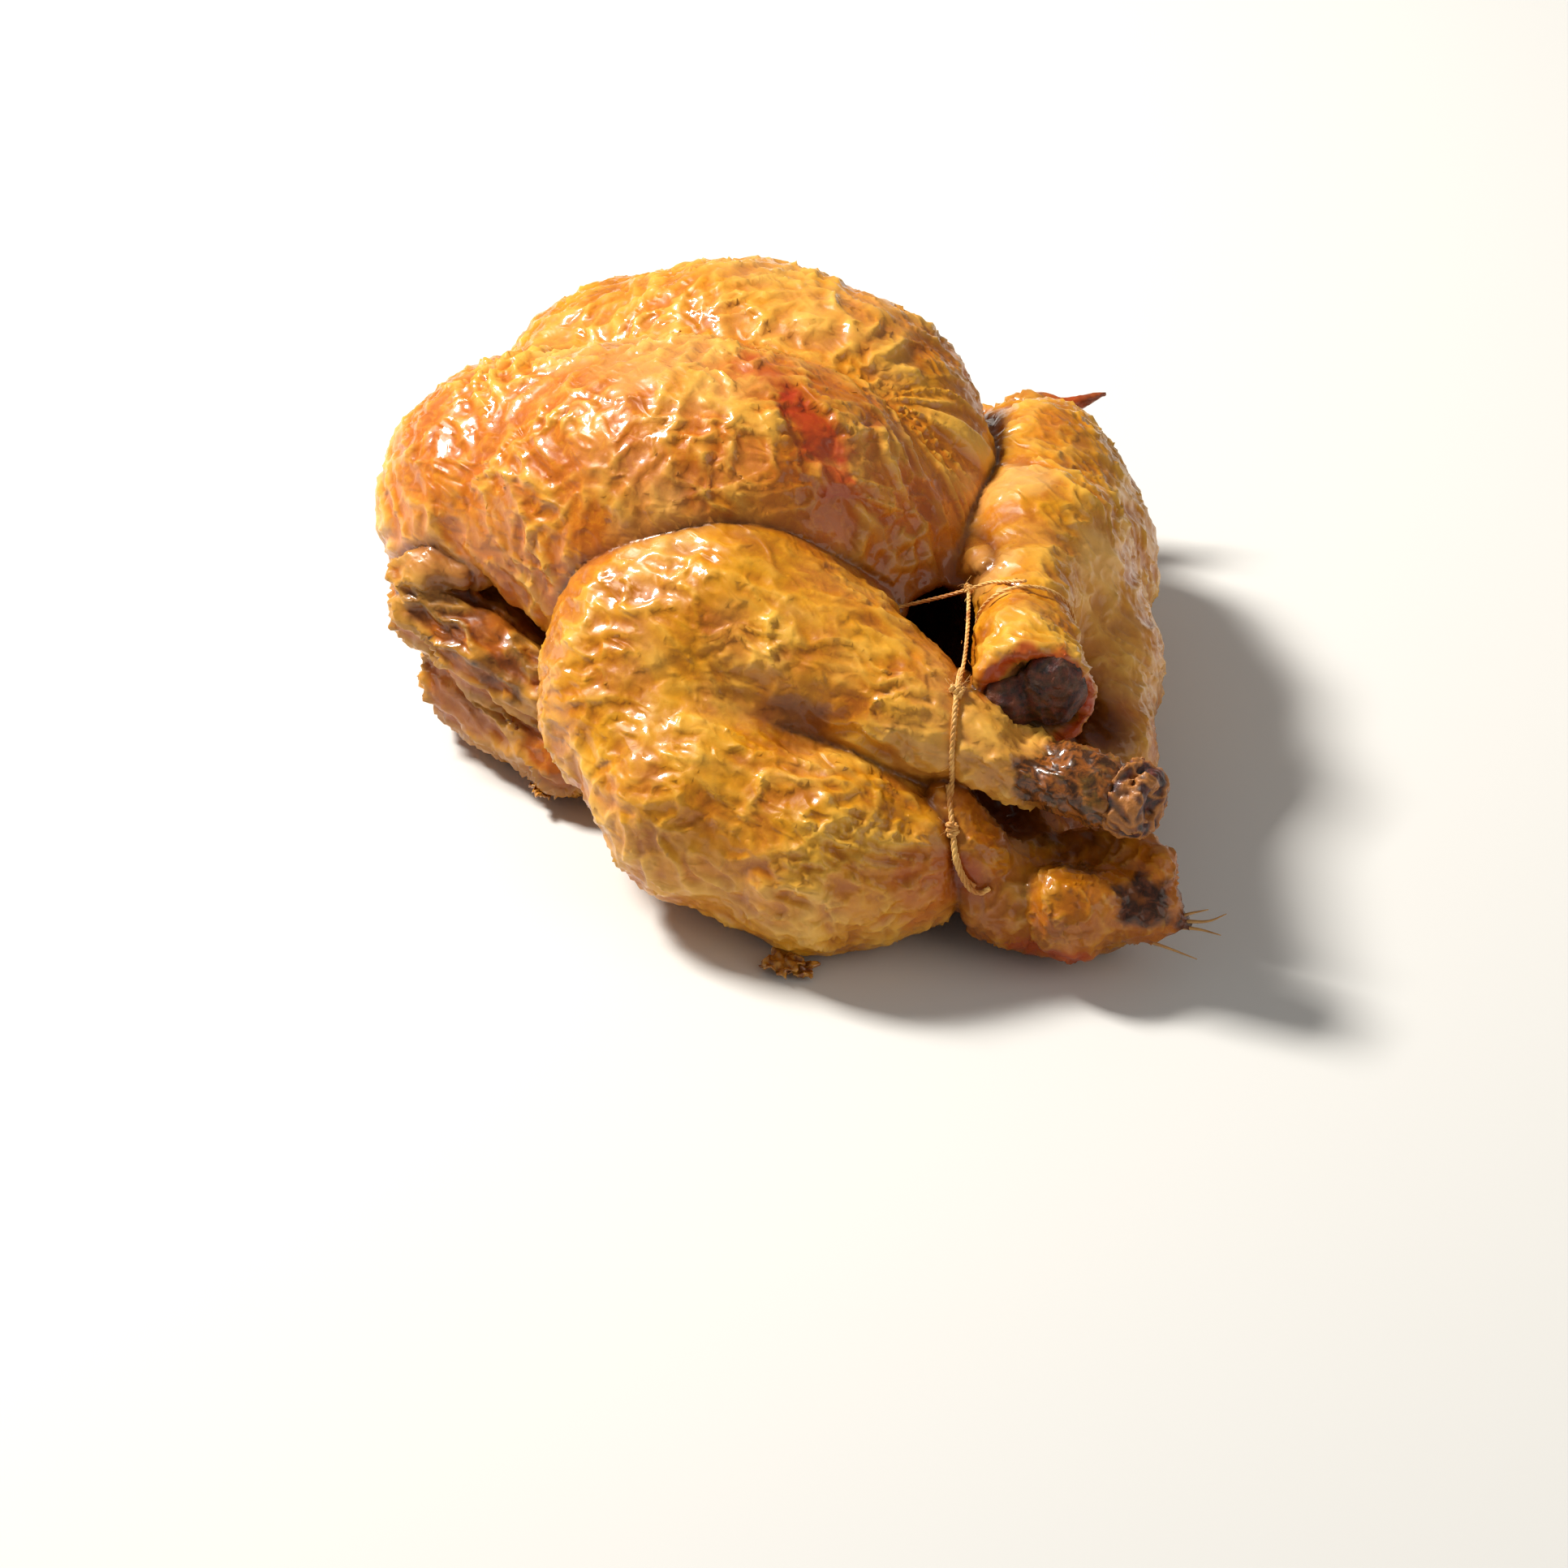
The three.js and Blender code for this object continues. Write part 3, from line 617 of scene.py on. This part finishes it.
def roasted_skin():
    """Roast poultry skin, basted in its own fat: a wet gloss on crinkles, gold over orange-brown,
    black where the heat caught it; painted highlight on ridges and lit tops, painted shade in hollows."""
    material, tree = new_material("roasted_skin")
    place = node(tree, "ShaderNodeTexCoord").outputs["Object"]
    mark = {name: node(tree, "ShaderNodeAttribute", {"attribute_name": name}).outputs["Fac"]
            for name in ("gold", "browning_and_painted_shade", "painted_hollow_shade", "char", "tissue", "red", "pale_and_painted_light", "ridge")}

    def pattern(size, detail, bend=0.0):
        settings = {"Scale": 1 / (size * MM), "Detail": detail, "Roughness": 0.6, "Distortion": bend}
        return node(tree, "ShaderNodeTexNoise", settings, {"Vector": place}).outputs["Fac"]

    def ranged(source, low, high, out_low=0.0, out_high=1.0):
        return node(
            tree, "ShaderNodeMapRange",
            {1: low, 2: high, 3: out_low, 4: out_high}, {0: source}).outputs[0]

    blotch = pattern(9, 5.0)
    crumb = pattern(2.6, 4.0, 0.8)
    grain = pattern(0.9, 2.0)
    tone = mixed(tree, mark["gold"], "#c2680a", "#d28e10")
    tone = mixed(tree, ranged(blotch, 0.45, 0.7), tone, "#984602", 0.6)
    # Painted shade: the hollows between the skin's folds darkened to orange-brown.
    tone = mixed(tree, ranged(mark["ridge"], 0.25, 0.0), tone, "#a04a02", 0.5)
    tone = mixed(tree, ranged(crumb, 0.5, 0.72), tone, "#e89c12", 0.35)
    # Fold ridges paler gold: partly the skin drying as it toasts, partly a painted highlight.
    tone = mixed(tree, ranged(mark["ridge"], 0.25, 0.9), tone, "#f7c450", 0.55)
    # Pale: the skin's own paler places plus painted light on lit tops and shaded legs.
    tone = mixed(tree, mark["pale_and_painted_light"], tone, "#efbc6c", 0.6)
    # Browning, with painted shade in the creases and in and round the cavity.
    tone = mixed(tree, mark["browning_and_painted_shade"], tone, "#823e00", 0.75)
    tone = mixed(tree, mark["red"], tone, "#a81c06", 0.8)
    # Painted shade: dark brown in the cavity, deep creases and hollows.
    tone = mixed(tree, mark["painted_hollow_shade"], tone, "#4a1a02", 0.88)
    meat = mixed(tree, ranged(crumb, 0.42, 0.6), "#2a0e09", "#8a4a16")
    meat = mixed(tree, ranged(blotch, 0.52, 0.7), meat, "#9a742a", 0.7)
    tone = mixed(tree, mark["tissue"], tone, meat, 0.94)
    soot = mixed(tree, ranged(crumb, 0.42, 0.62), "#22100a", "#62301c")
    tone = mixed(tree, mark["char"], tone, soot, 0.94)
    gloss = ranged(blotch, 0.3, 0.75, 0.32, 0.5)
    drawn_out = node(tree, "ShaderNodeMapping", {"vector_type": "POINT", "Rotation": (0.3, 0.5, 0.4),
                                                 "Scale": (0.45, 1.0, 1.0)}, {"Vector": place}).outputs[0]
    wrinkle = node(tree, "ShaderNodeTexNoise", {
        "noise_type": "RIDGED_MULTIFRACTAL", "normalize": True, "Scale": 1 / (4.6 * MM), "Detail": 2.5,
        "Roughness": 0.5, "Distortion": 1.0}, {"Vector": drawn_out}).outputs["Fac"]
    coarse = node(tree, "ShaderNodeBump", {"Strength": 0.85, "Distance": 0.9 * MM}, {"Height": wrinkle})
    fine = node(tree, "ShaderNodeBump", {"Strength": 0.3, "Distance": 0.12 * MM},
                {"Height": grain, "Normal": coarse.outputs[0]})
    shader = node(tree, "ShaderNodeBsdfPrincipled", {
        "Subsurface Weight": 0.05, "Subsurface Scale": 0.0015, "Subsurface Radius": (1.0, 0.4, 0.15),
        "IOR": 1.4, "Specular IOR Level": 0.35, "Coat Weight": 0.5, "Coat Roughness": 0.08, "Coat IOR": 1.45},
        {"Base Color": tone, "Roughness": gloss, "Normal": fine.outputs[0]})
    node(tree, "ShaderNodeOutputMaterial", {}, {"Surface": shader.outputs[0]})
    return material


bird.data.materials.append(roasted_skin())
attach(bird, "root")
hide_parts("bird")

# ---- charred shin bones ---------------------------------------------------------------------
# Each shank shows the burnt end of its shin bone: a slim shaft, grown into the meat, that widens
# into a knuckle of two round heads; the near one has rings of charred gristle the heat drew back.

BONE_STEP = 0.55
SHAFT_RADIUS = 4.2


def ring(q, place, reach, thickness):
    """Distance to a ring of gristle round the bone."""
    return np.hypot(np.hypot(q[:, 1], q[:, 2]) - reach, q[:, 0] - place) - thickness


def near_shin(p):
    q = along_bone(p, NEAR_SHIN_START, NEAR_SHIN_END)
    shaft = limb(q, [(4, 0, 0, SHAFT_RADIUS + 1), (20, 0, 0, SHAFT_RADIUS), (100, 0, 0, SHAFT_RADIUS + 1)], 4)
    heads = melt(
        ellipsoid(q, (107, -3.4, 1), (6.5, 5.6, 7)),
        ellipsoid(q, (106.5, 3.6, -1), (6, 5.6, 7.4)), 1.5)
    rings = melt(ring(q, 110.5, 6.4, 2.3), ring(q, 105.5, 7.2, 2.0), 0.8)
    worn = crinkle(p, (4.5, 4.5, 4.5), 501, 0.9, 2.6) * 0.9 + noise(p, 1.9, 505) * 0.7 - 0.6
    knuckle = carve(melt(heads, rings, 1), ellipsoid(q, (114.5, 0, 0), (4, 3.6, 4)), 1.5)
    return melt(shaft, knuckle - worn, 4)


def far_shin(p):
    q = along_bone(p, FAR_SHIN_START, FAR_SHIN_END)
    shaft = limb(q, [(4, 0, 0, SHAFT_RADIUS + 1), (20, 0, 0, SHAFT_RADIUS), (80, 0, 0, SHAFT_RADIUS + 1)], 4)
    heads = melt(
        ellipsoid(q, (90.4, -3.8, 2.6), (4.8, 8.4, 9.2)),
        ellipsoid(q, (89.8, 6.2, -2.0), (4.8, 7.2, 7.8)), 0.8)
    worn = crinkle(p, (5, 5, 5), 521, 0.9, 3.0) * 0.7 + noise(p, 2.6, 525) * 0.35 - 0.4
    return melt(shaft, heads - worn, 3)


def make_bone(name, field, start, end, char_from, crusted):
    reach = 14
    low = np.minimum(start, end) - reach
    high = np.maximum(start, end) + reach
    vertices, faces = skin_over(field, low, high, BONE_STEP)
    thing = put_mesh(name, vertices, faces.tolist())
    place = along_bone(vertices, start, end)[:, 0]
    burnt = np.clip((place - char_from + noise(vertices, 4, 541) * 2) / 4, 0, 1)
    add_number(thing.data, "burnt", burnt)
    add_number(
        thing.data, "ridge",
        crusted * np.clip(crinkle(vertices, (4.5, 4.5, 4.5), 501, 0.9, 2.6) * 1.3, 0, 1))
    return thing


def charred_bone():
    """Bone and gristle burnt in the oven: crusted brown-black hollows under tan, worn ridges."""
    material, tree = new_material("charred_bone")
    place = node(tree, "ShaderNodeTexCoord").outputs["Object"]
    burnt = node(tree, "ShaderNodeAttribute", {"attribute_name": "burnt"}).outputs["Fac"]
    ridge = node(tree, "ShaderNodeAttribute", {"attribute_name": "ridge"}).outputs["Fac"]
    crust = node(tree, "ShaderNodeTexNoise", {"Scale": 1 / (2.4 * MM), "Detail": 5.0, "Roughness": 0.7},
                 {"Vector": place}).outputs["Fac"]
    patchy = node(tree, "ShaderNodeMapRange", {1: 0.42, 2: 0.62}, {0: crust}).outputs[0]
    bare = mixed(tree, patchy, "#b98a55", "#8a5a2c")
    soot = mixed(tree, patchy, "#220a07", "#5e2214")
    soot = mixed(tree, ridge, soot, "#b8742c", 0.9)
    tone = mixed(tree, burnt, bare, soot)
    bump = node(tree, "ShaderNodeBump", {"Strength": 0.9, "Distance": 0.7 * MM}, {"Height": crust})
    shader = node(tree, "ShaderNodeBsdfPrincipled", {
        "Roughness": 0.55, "IOR": 1.5, "Coat Weight": 0.2, "Coat Roughness": 0.15},
        {"Base Color": tone, "Normal": bump.outputs[0]})
    node(tree, "ShaderNodeOutputMaterial", {}, {"Surface": shader.outputs[0]})
    return material


bone_finish = charred_bone()
near_bone = make_bone("near_shin_bone", near_shin, NEAR_SHIN_START, NEAR_SHIN_END, 92, 1.0)
far_bone = make_bone("far_shin_bone", far_shin, FAR_SHIN_START, FAR_SHIN_END, 78, 0.15)
for bone, cad_node in ((near_bone, "shin_bone_near"), (far_bone, "shin_bone_far")):
    bone.data.materials.append(bone_finish)
    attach(bone, "root")
    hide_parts(cad_node)

# ---- cotton twine ---------------------------------------------------------------------------
# Butcher's twine, three cotton strands twisted to about 1.4 mm, soaked in fat. It is tied round both
# shanks, tucked in beside the breast and knotted again under the near shank over the tail flap.

STRAND_RADIUS = 0.36
STRAND_OFFSET = 0.34
TWIST_LENGTH = 4.6
TWINE_STEP = 0.5
DRAWN_THIN = 0.72
STRAND_SIDES = 6
TOP_KNOT = (43, -7.5, 65.5)
SHANK_KNOT = (69.6, -34.4, 61.9)
LOW_KNOT = (83.7, -47.8, 35.8)
random = np.random.default_rng(20)


def curve_through(points, step):
    """A smooth curve through the points, sampled at even steps."""
    p = np.array(points, float)
    p = np.vstack([2 * p[0] - p[1], p, 2 * p[-1] - p[-2]])
    t = np.linspace(0, 1, 40, endpoint=False)[:, None]
    spans = [
        0.5 * (
            2 * b + (c - a) * t + (2 * a - 5 * b + 4 * c - d) * t ** 2
            + (3 * b - a - 3 * c + d) * t ** 3)
             for a, b, c, d in zip(p[:-3], p[1:-2], p[2:-1], p[3:])]
    dense = np.vstack(spans + [p[-2:-1]])
    reach = np.concatenate([[0], np.cumsum(np.linalg.norm(np.diff(dense, axis=0), axis=1))])
    even = np.linspace(0, reach[-1], max(int(reach[-1] / step), 3))
    return np.stack([np.interp(even, reach, dense[:, m]) for m in range(3)], -1)


def frames_along(line):
    """Two directions across a curve at each of its points, carried along without twisting."""
    ahead = np.gradient(line, axis=0)
    ahead /= np.linalg.norm(ahead, axis=1, keepdims=True)
    across = np.cross(ahead[0], (0.3, 0.2, 0.93))
    sides = []
    for direction in ahead:
        across = across - direction * (across @ direction)
        across /= np.linalg.norm(across)
        sides.append(across)
    sides = np.array(sides)
    return sides, np.cross(ahead, sides)


def tube(line, radii, sides):
    """A closed tube along a curve, its vertices and faces."""
    u, v = frames_along(line)
    turn = np.arange(sides) * 2 * np.pi / sides
    around = np.cos(turn)[None, :, None] * u[:, None] + np.sin(turn)[None, :, None] * v[:, None]
    vertices = (line[:, None] + around * np.reshape(radii, (-1, 1, 1))).reshape(-1, 3)
    faces = []
    for i in range(len(line) - 1):
        for j in range(sides):
            k = (j + 1) % sides
            faces.append([i * sides + j, i * sides + k, (i + 1) * sides + k, (i + 1) * sides + j])
    faces.append(list(range(sides))[::-1])
    faces.append([(len(line) - 1) * sides + j for j in range(sides)])
    return vertices, faces


def twisted(line, share):
    """Three strands laid round one another along a curve, at a share of the twine's full thickness."""
    u, v = frames_along(line)
    reach = np.concatenate([[0], np.cumsum(np.linalg.norm(np.diff(line, axis=0), axis=1))])
    for strand in range(3):
        turn = (reach / TWIST_LENGTH + strand / 3) * 2 * np.pi
        path = line + STRAND_OFFSET * share * (np.cos(turn)[:, None] * u + np.sin(turn)[:, None] * v)
        swell = STRAND_RADIUS * share * (1 + 0.1 * np.sin(reach * 1.7 + strand))
        yield tube(path, swell, STRAND_SIDES)


def snug_ring(centre, axis, lift):
    """A closed turn of twine drawn tight on the skin round a shank."""
    ahead = np.array(axis, float) / np.linalg.norm(axis)
    side = np.cross((0, 0, 1.0), ahead)
    side /= np.linalg.norm(side)
    turns = np.linspace(0, 2 * np.pi, 41)
    rays = np.cos(turns)[:, None] * side + np.sin(turns)[:, None] * np.cross(ahead, side)
    reach = np.full(len(rays), 4.0)
    for _ in range(40):
        here = np.array(centre) + rays * reach[:, None]
        reach += np.maximum(-flesh(here.astype(np.float32)), 0) * 0.8
    return np.array(centre) + rays * np.clip(reach + lift, 0, 18)[:, None]


def coil(centre, axis, reach, turns, rise):
    """The wraps of a knot round the twine that it is tied on."""
    ahead = np.array(axis, float) / np.linalg.norm(axis)
    side = np.cross(ahead, (0.2, 0.9, 0.3))
    side /= np.linalg.norm(side)
    t = np.linspace(0, turns, int(turns * 12))[:, None]
    around = np.cos(t * 2 * np.pi) * side + np.sin(t * 2 * np.pi) * np.cross(ahead, side)
    return np.array(centre) + ahead * (t - turns / 2) * rise + around * reach


def fibres(root, heading, count, length, spread):
    """Loose cotton fibres at a cut end or a rubbed knot."""
    for _ in range(count):
        aim = np.array(heading, float) + random.normal(0, spread, 3)
        aim /= np.linalg.norm(aim)
        bend = random.normal(0, 0.35, 3)
        t = np.linspace(0, 1, 6)[:, None]
        start = np.array(root) + random.normal(0, 0.5, 3)
        line = start + (aim * t + bend * t * t) * length * random.uniform(0.5, 1.1)
        yield tube(line, np.linspace(0.1, 0.04, 6), 3)


def make_twine():
    full = [
        curve_through(snug_ring(*TWINE_RINGS[0][:2], 0.3), TWINE_STEP),
        curve_through([(76.5, -43, 42.5), (80.5, -45.6, 38.6), LOW_KNOT, (88, -50.4, 30), (91.2, -49.6, 24.6),
                       (93.2, -47.6, 22.6), (94.2, -45.2, 23.4)], TWINE_STEP),
        curve_through([LOW_KNOT, (86.8, -49.2, 31), (89.8, -49.6, 26.4), (91.8, -47.8, 23.6)], TWINE_STEP),
        coil(SHANK_KNOT, (0.8, 0.3, -0.5), 1.05, 2.4, 1.2),
        coil(SHANK_KNOT, (0.2, 0.9, 0.2), 0.95, 1.6, 1.2),
        coil(LOW_KNOT, (0.3, -0.1, -0.9), 1.0, 2.6, 1.2)]
    thin = [
        curve_through(snug_ring(*TWINE_RINGS[1][:2], 0.25), TWINE_STEP),
        curve_through([SHANK_KNOT, (63, -26.5, 64), (55, -18.5, 65), TOP_KNOT], TWINE_STEP),
        curve_through([TOP_KNOT, (36, -11, 61), (28, -18, 57), (21, -26, 54), (16, -31, 50)], TWINE_STEP),
        curve_through([TOP_KNOT, (47, -4, 68), (53, -3.5, 71), (57, -2, 72.5)], TWINE_STEP),
        coil(TOP_KNOT, (0.7, -0.6, -0.2), 0.75, 2.2, 0.95)]
    pieces = [part for route in full for part in twisted(route, 1.0)]
    pieces += [part for route in thin for part in twisted(route, DRAWN_THIN)]
    for root, heading in ((SHANK_KNOT, (-0.6, -0.6, 0.5)), (TOP_KNOT, (-0.2, -0.3, 0.9)),
                          (LOW_KNOT, (0.2, -0.9, 0.1)), (SHANK_KNOT, (0.5, 0.4, 0.9))):
        pieces += list(fibres(root, heading, 7, 3.6, 0.45))
    for route in full[:3] + thin[:4]:
        for spot in route[::11]:
            pieces += list(fibres(spot, random.normal(0, 1, 3), 1, 1.7, 0.3))
    return join_pieces("cotton_twine", pieces)


def join_pieces(name, pieces):
    """One mesh object from many pairs of vertices and faces."""
    vertices = []
    faces = []
    start = 0
    for part_vertices, part_faces in pieces:
        vertices.append(part_vertices)
        faces += [[start + corner for corner in face] for face in part_faces]
        start += len(part_vertices)
    return put_mesh(name, np.vstack(vertices), faces)


def cotton():
    """Twisted cotton gone tan and half clear with chicken fat, browner where the oven caught it."""
    material, tree = new_material("fat_soaked_cotton")
    place = node(tree, "ShaderNodeTexCoord").outputs["Object"]
    stain = node(
        tree, "ShaderNodeTexNoise",
        {"Scale": 1 / (7 * MM), "Detail": 3.0}, {"Vector": place}).outputs["Fac"]
    lint = node(
        tree, "ShaderNodeTexNoise",
        {"Scale": 1 / (0.5 * MM), "Detail": 2.0}, {"Vector": place}).outputs["Fac"]
    share = node(tree, "ShaderNodeMapRange", {1: 0.4, 2: 0.65}, {0: stain}).outputs[0]
    tone = mixed(tree, share, "#f0bf6a", "#c27a26")
    bump = node(tree, "ShaderNodeBump", {"Strength": 0.5, "Distance": 0.1 * MM}, {"Height": lint})
    shader = node(tree, "ShaderNodeBsdfPrincipled", {
        "Roughness": 0.48, "IOR": 1.47, "Sheen Weight": 0.15, "Coat Weight": 0.15, "Coat Roughness": 0.3},
        {"Base Color": tone, "Normal": bump.outputs[0]})
    node(tree, "ShaderNodeOutputMaterial", {}, {"Surface": shader.outputs[0]})
    return material


twine = make_twine()
twine.data.materials.append(cotton())
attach(twine, "root")
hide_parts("twine")

# ---- quills and shreds ----------------------------------------------------------------------
# What the plucking and the oven leave: feather quills in the tail, and thin shreds of torn skin
# stuck under the thigh and beside the wing. All grow from the skin.

QUILLS = (
    ((124, -11, 14.5), (132, -4.5, 18)), ((124, -11.5, 13), (131.5, -5.5, 12)),
    ((119, -20, 11), (129.5, -11, 6.5)), ((123, -12, 15), (128.5, -7, 18.5)))


def make_quills():
    pieces = []
    for root, end in QUILLS:
        middle = (np.array(root) + end) / 2 + random.normal(0, 0.5, 3)
        line = curve_through([root, middle, end], 0.7)
        pieces.append(tube(line, np.linspace(0.55, 0.12, len(line)), 7))
    return join_pieces("tail_quills", pieces)


def shred(centre, along, across, seed):
    """A crumpled scrap of skin about 0.5 mm thick with a ragged outline."""
    grid = np.linspace(-1, 1, 23)
    u, v = [a.reshape(-1) for a in np.meshgrid(grid, grid, indexing="ij")]
    flat = np.stack([u, v, np.zeros_like(u)], -1) * 5
    ragged = 1 + 0.35 * noise(flat, 3, seed) + 0.2 * noise(flat, 1.2, seed + 1)
    spot = (
        np.array(centre)
        + (u * ragged)[:, None] * np.array(along)
        + (v * ragged)[:, None] * np.array(across))
    curl = noise(flat, 2.6, seed + 2)[:, None] * 1.1 + noise(flat, 1.2, seed + 4)[:, None] * 0.5
    up = np.cross(along, across)
    up = up / np.linalg.norm(up)
    spot = spot + up * curl
    n = len(grid)
    top = [
        [i * n + j, (i + 1) * n + j, (i + 1) * n + j + 1, i * n + j + 1]
        for i in range(n - 1) for j in range(n - 1)]
    edge = [i * n for i in range(n)] + [(n - 1) * n + j for j in range(1, n)]
    edge += [i * n + n - 1 for i in range(n - 2, -1, -1)] + [j for j in range(n - 2, 0, -1)]
    under = [[corner + n * n for corner in face[::-1]] for face in top]
    sides = [[b, a, a + n * n, b + n * n] for a, b in zip(edge, edge[1:] + edge[:1])]
    both = np.vstack([spot, spot - up * 0.5])
    both[:, 2] = np.maximum(both[:, 2], 0.05)
    return both, top + under + sides


def make_shreds():
    return join_pieces("skin_shreds", [
        shred((63.5, -83, 2.5), (4.4, 0.6, 0.3), (0.8, -3.6, -0.8), 601),
        shred((67, -81, 1.6), (3.0, 2.4, 0), (1.2, -2.2, -0.4), 611),
        shred((-27, -84, 3.5), (3.4, -1.4, 0.8), (0.6, -2.6, 1.8), 621),
        shred((-37, -83, 15), (0.8, -1.2, 3.6), (3.4, -0.6, -0.6), 631)])


quills = make_quills()
shreds = make_shreds()


def dry_quill():
    """Keratin like a fingernail's, scorched straw-brown and half clear."""
    material, tree = new_material("keratin_quill")
    place = node(tree, "ShaderNodeTexCoord").outputs["Object"]
    stain = node(
        tree, "ShaderNodeTexNoise",
        {"Scale": 1 / (3 * MM), "Detail": 2.0}, {"Vector": place}).outputs["Fac"]
    shader = node(tree, "ShaderNodeBsdfPrincipled", {"Roughness": 0.35, "IOR": 1.54},
                  {"Base Color": mixed(tree, stain, "#d8a860", "#8a5220")})
    node(tree, "ShaderNodeOutputMaterial", {}, {"Surface": shader.outputs[0]})
    return material


def crisp_skin():
    """Thin skin fried clear and crisp: deep amber with pale blisters, very glossy."""
    material, tree = new_material("crisp_skin")
    place = node(tree, "ShaderNodeTexCoord").outputs["Object"]
    blister = node(
        tree, "ShaderNodeTexNoise",
        {"Scale": 1 / (1.8 * MM), "Detail": 4.0}, {"Vector": place}).outputs["Fac"]
    share = node(tree, "ShaderNodeMapRange", {1: 0.4, 2: 0.6}, {0: blister}).outputs[0]
    bump = node(tree, "ShaderNodeBump", {"Strength": 0.6, "Distance": 0.3 * MM}, {"Height": blister})
    shader = node(tree, "ShaderNodeBsdfPrincipled", {"Roughness": 0.3, "IOR": 1.46, "Coat Weight": 0.5},
                  {"Base Color": mixed(tree, share, "#8a4a0c", "#c98c30"), "Normal": bump.outputs[0]})
    node(tree, "ShaderNodeOutputMaterial", {}, {"Surface": shader.outputs[0]})
    return material


quills.data.materials.append(dry_quill())
shreds.data.materials.append(crisp_skin())
for bit in (quills, shreds):
    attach(bit, "root")

# ---- floor, light and camera ---------------------------------------------------------------
# A plain pale floor, one large soft light high on the left behind the bird, and a weak fill.

bpy.ops.mesh.primitive_plane_add(size=6.0, location=(0, 0, -0.0002))
floor = bpy.context.object
floor.name = "floor"
floor_material, floor_tree = new_material("pale_floor")
floor_shader = node(floor_tree, "ShaderNodeBsdfPrincipled",
                    {"Base Color": linear("#dededc"), "Roughness": 0.75, "Specular IOR Level": 0.2})
node(floor_tree, "ShaderNodeOutputMaterial", {}, {"Surface": floor_shader.outputs[0]})
floor.data.materials.append(floor_material)

VIEW_TURN = math.radians(50)
VIEW_DOWN = math.radians(34.9)
VIEW_HEIGHT = 0.918
VIEW_TARGET = Vector((0.0043, -0.0334, 0.0))
LENS_TO_WIDTH = 8048 / 1932
SENSOR = 36.0

toward = Vector((math.sin(VIEW_TURN), -math.cos(VIEW_TURN), 0))
right = Vector((math.cos(VIEW_TURN), math.sin(VIEW_TURN), 0))
camera_data = bpy.data.cameras.new("camera")
camera = bpy.data.objects.new("camera", camera_data)
bpy.context.scene.collection.objects.link(camera)
camera_data.sensor_width = SENSOR
camera_data.lens = SENSOR * LENS_TO_WIDTH
camera_data.clip_end = 20
camera.location = VIEW_TARGET + toward * (VIEW_HEIGHT / math.tan(VIEW_DOWN)) + Vector((0, 0, VIEW_HEIGHT))
camera.rotation_euler = (VIEW_TARGET - camera.location).to_track_quat("-Z", "Y").to_euler()
bpy.context.scene.camera = camera


def soft_light(name, place, size, power, color):
    data = bpy.data.lights.new(name, "AREA")
    data.shape = "RECTANGLE"
    data.size, data.size_y = size
    data.energy = power
    data.color = linear(color)[:3]
    thing = bpy.data.objects.new(name, data)
    thing.location = place
    thing.rotation_euler = (Vector((0, 0, 0.05)) - thing.location).to_track_quat("-Z", "Y").to_euler()
    bpy.context.scene.collection.objects.link(thing)


soft_light("window", -right * 0.85 - toward * 0.45 + Vector((0, 0, 1.05)), (0.3, 0.3), 35, "#fffaf2")
soft_light("fill", right * 1.1 + toward * 0.7 + Vector((0, 0, 0.8)), (1.2, 1.0), 5, "#fff6ea")
world = bpy.data.worlds.new("studio")
world.use_nodes = True
world.node_tree.nodes["Background"].inputs[0].default_value = linear("#f4f4f2")
world.node_tree.nodes["Background"].inputs[1].default_value = 0.24
bpy.context.scene.world = world
bpy.context.scene.view_settings.view_transform = "Standard"
